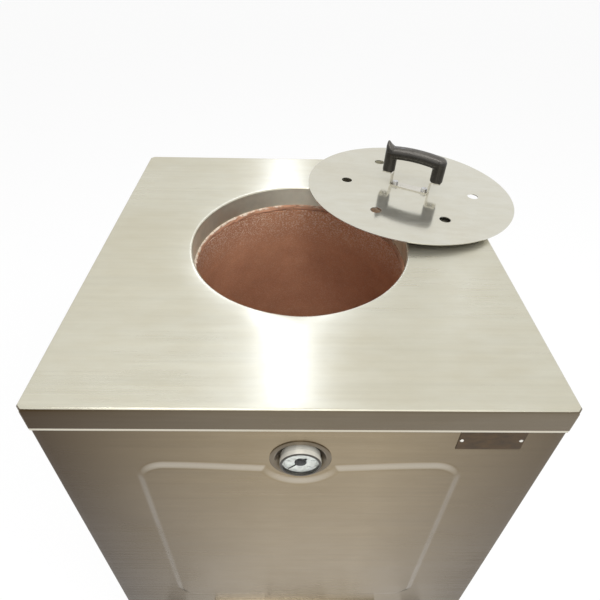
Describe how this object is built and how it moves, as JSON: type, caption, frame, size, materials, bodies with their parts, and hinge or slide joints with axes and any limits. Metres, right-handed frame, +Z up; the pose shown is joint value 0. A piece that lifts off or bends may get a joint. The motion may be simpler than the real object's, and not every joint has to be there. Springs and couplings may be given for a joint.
{
  "type": "clay tandoor oven",
  "caption": "Square steel tandoor on swivel casters: insulated clay pot under a round mouth, loose vented lid with black handle, front thermometer, ash drawer with sliding draught.",
  "frame": {"origin": "on the floor, under the middle of the square cabinet", "axes": "+Z up, +X to the right as seen from the front, +Y to the back; the thermometer and the ash drawer face -Y"},
  "size_m": [0.7256, 0.7326, 0.9658],
  "materials": {
    "cabinet_steel": "fine brushed, some oven soot",
    "lid_steel": "rolled sheet, satin",
    "plated_steel": "zinc plated",
    "frame_paint": "satin black enamel",
    "gauge_steel": "turned and polished",
    "gauge_face": "matt off-white print ground",
    "gauge_hand": "black enamel",
    "gauge_window": "clear flat glass",
    "plate_face": "dull etched metal, bare",
    "fired_clay": "unglazed, rough, fired",
    "mortar": "rough trowelled joint",
    "packing_wool": "loose mineral wool",
    "hearth_stone": "cast refractory, sooty",
    "grate_iron": "as cast",
    "grip_black": "moulded phenolic",
    "wheel_plastic": "moulded nylon",
    "wheel_rubber": "moulded rubber"
  },
  "bodies": {
    "cabinet": {"top_cover": "cabinet_steel", "mouth_collar": "cabinet_steel", "collar_seal": "mortar", "clay_pot": "fired_clay", "insulation_fill": "packing_wool", "hearth_slab": "hearth_stone", "charcoal_grate": "grate_iron", "slab_bearers": "frame_paint", "ash_tunnel": "cabinet_steel", "drawer_runners": "plated_steel", "front_panel": "cabinet_steel", "left_panel": "cabinet_steel", "right_panel": "cabinet_steel", "rear_panel": "cabinet_steel", "panel_rivets": "plated_steel", "base_pan": "cabinet_steel", "base_frame": "frame_paint", "corner_posts": "frame_paint", "gauge_flange": "gauge_steel", "gauge_nuts": "gauge_steel", "gauge_case": "gauge_steel", "gauge_dial": "gauge_face", "gauge_glass": "gauge_window", "gauge_stem": "gauge_steel", "nameplate": "plate_face", "nameplate_rivets": "plated_steel", "caster_plates": "plated_steel", "caster_bolts": "plated_steel"},
    "pointer": {"gauge_pointer": "gauge_hand"},
    "lid": {"lid_plate": "lid_steel", "handle_bracket": "lid_steel", "handle_grip": "grip_black", "handle_bolts": "plated_steel", "handle_nuts": "plated_steel", "grip_screws": "plated_steel"},
    "drawer": {"ash_tray": "cabinet_steel", "drawer_front": "cabinet_steel", "drawer_pull": "plated_steel", "damper_guides": "cabinet_steel"},
    "damper": {"damper_slide": "plated_steel", "damper_knob": "grip_black"},
    "swivel_fl": {"caster_fork_fl": "plated_steel", "axle_bolt_fl": "plated_steel"},
    "wheel_fl": {"wheel_core_fl": "wheel_plastic", "tyre_fl": "wheel_rubber"},
    "brake_fl": {"brake_pedal_fl": "frame_paint"},
    "swivel_fr": {"caster_fork_fr": "plated_steel", "axle_bolt_fr": "plated_steel"},
    "wheel_fr": {"wheel_core_fr": "wheel_plastic", "tyre_fr": "wheel_rubber"},
    "brake_fr": {"brake_pedal_fr": "frame_paint"},
    "swivel_rl": {"caster_fork_rl": "plated_steel", "axle_bolt_rl": "plated_steel"},
    "wheel_rl": {"wheel_core_rl": "wheel_plastic", "tyre_rl": "wheel_rubber"},
    "swivel_rr": {"caster_fork_rr": "plated_steel", "axle_bolt_rr": "plated_steel"},
    "wheel_rr": {"wheel_core_rr": "wheel_plastic", "tyre_rr": "wheel_rubber"}
  },
  "joints": [
    {"name": "lid_lift", "type": "slide", "parent": "cabinet", "child": "lid", "axis": [0.6173, 0.4878, 0.6173], "range_m": [0, 0.26]},
    {"name": "pointer_turn", "type": "hinge", "parent": "cabinet", "child": "pointer", "pos_m": [0, -0.3196, 0.767], "axis": [0, 1, 0], "range_deg": [0, 270], "stiffness_Nm_per_rad": 0.002},
    {"name": "drawer_slide", "type": "slide", "parent": "cabinet", "child": "drawer", "axis": [0, -1, 0], "range_m": [0, 0.33]},
    {"name": "damper_slide", "type": "slide", "parent": "drawer", "child": "damper", "axis": [1, 0, 0], "range_m": [0, 0.025]},
    {"name": "swivel_fl", "type": "hinge", "parent": "cabinet", "child": "swivel_fl", "pos_m": [-0.257, -0.257, 0.09], "axis": [0, 0, 1], "continuous": true},
    {"name": "wheel_fl", "type": "hinge", "parent": "swivel_fl", "child": "wheel_fl", "pos_m": [-0.257, -0.283, 0.04], "axis": [1, 0, 0], "continuous": true},
    {"name": "brake_fl", "type": "hinge", "parent": "swivel_fl", "child": "brake_fl", "pos_m": [-0.257, -0.307, 0.084], "axis": [1, 0, 0], "range_deg": [0, 18]},
    {"name": "swivel_fr", "type": "hinge", "parent": "cabinet", "child": "swivel_fr", "pos_m": [0.257, -0.257, 0.09], "axis": [0, 0, 1], "continuous": true},
    {"name": "wheel_fr", "type": "hinge", "parent": "swivel_fr", "child": "wheel_fr", "pos_m": [0.257, -0.283, 0.04], "axis": [1, 0, 0], "continuous": true},
    {"name": "brake_fr", "type": "hinge", "parent": "swivel_fr", "child": "brake_fr", "pos_m": [0.257, -0.307, 0.084], "axis": [1, 0, 0], "range_deg": [0, 18]},
    {"name": "swivel_rl", "type": "hinge", "parent": "cabinet", "child": "swivel_rl", "pos_m": [-0.257, 0.257, 0.09], "axis": [0, 0, 1], "continuous": true},
    {"name": "wheel_rl", "type": "hinge", "parent": "swivel_rl", "child": "wheel_rl", "pos_m": [-0.257, 0.231, 0.04], "axis": [1, 0, 0], "continuous": true},
    {"name": "swivel_rr", "type": "hinge", "parent": "cabinet", "child": "swivel_rr", "pos_m": [0.257, 0.257, 0.09], "axis": [0, 0, 1], "continuous": true},
    {"name": "wheel_rr", "type": "hinge", "parent": "swivel_rr", "child": "wheel_rr", "pos_m": [0.257, 0.231, 0.04], "axis": [1, 0, 0], "continuous": true}
  ]
}
